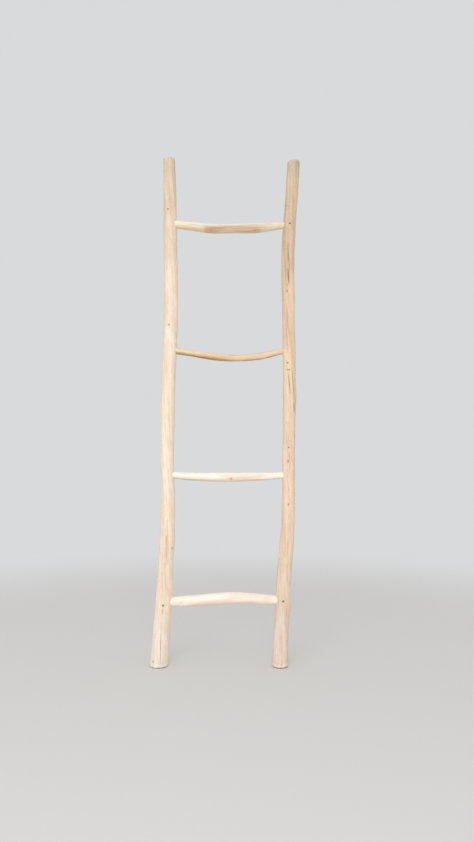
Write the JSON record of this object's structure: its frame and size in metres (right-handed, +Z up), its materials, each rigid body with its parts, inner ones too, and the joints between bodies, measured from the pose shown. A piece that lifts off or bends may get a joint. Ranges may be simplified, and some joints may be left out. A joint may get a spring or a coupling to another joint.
{
  "type": "decorative ladder",
  "caption": "Rustic decorative ladder of peeled crooked branches: two long rails with bowed round rungs set into bored holes and nailed, for leaning on a wall.",
  "frame": {"origin": "on the floor, under the middle of the ladder's outline, with the ladder upright on its sawn feet", "axes": "+Z up along the rails, +X to the right seen from the front, +Y to the back, so -Y faces the viewer; in use the whole part is turned about the feet until the rails' tops lean on a wall behind it"},
  "size_m": [0.4408, 0.0542, 1.5],
  "materials": {
    "rail_wood": "peeled and drawknifed branch, raw and dry",
    "pale_rung_wood": "peeled branch, raw and lightly sanded",
    "honey_rung_wood": "peeled branch, raw and lightly sanded, honey brown",
    "nail_steel": "darkened bare steel"
  },
  "bodies": {
    "root": {"left_rail": "rail_wood", "right_rail": "rail_wood", "top_rung": "pale_rung_wood", "upper_rung": "honey_rung_wood", "lower_rung": "pale_rung_wood", "bottom_rung": "pale_rung_wood", "nail_top_rung_left": "nail_steel", "nail_top_rung_right": "nail_steel", "nail_upper_rung_left": "nail_steel", "nail_upper_rung_right": "nail_steel", "nail_lower_rung_left": "nail_steel", "nail_lower_rung_right": "nail_steel", "nail_bottom_rung_left": "nail_steel", "nail_bottom_rung_right": "nail_steel"}
  },
  "joints": []
}
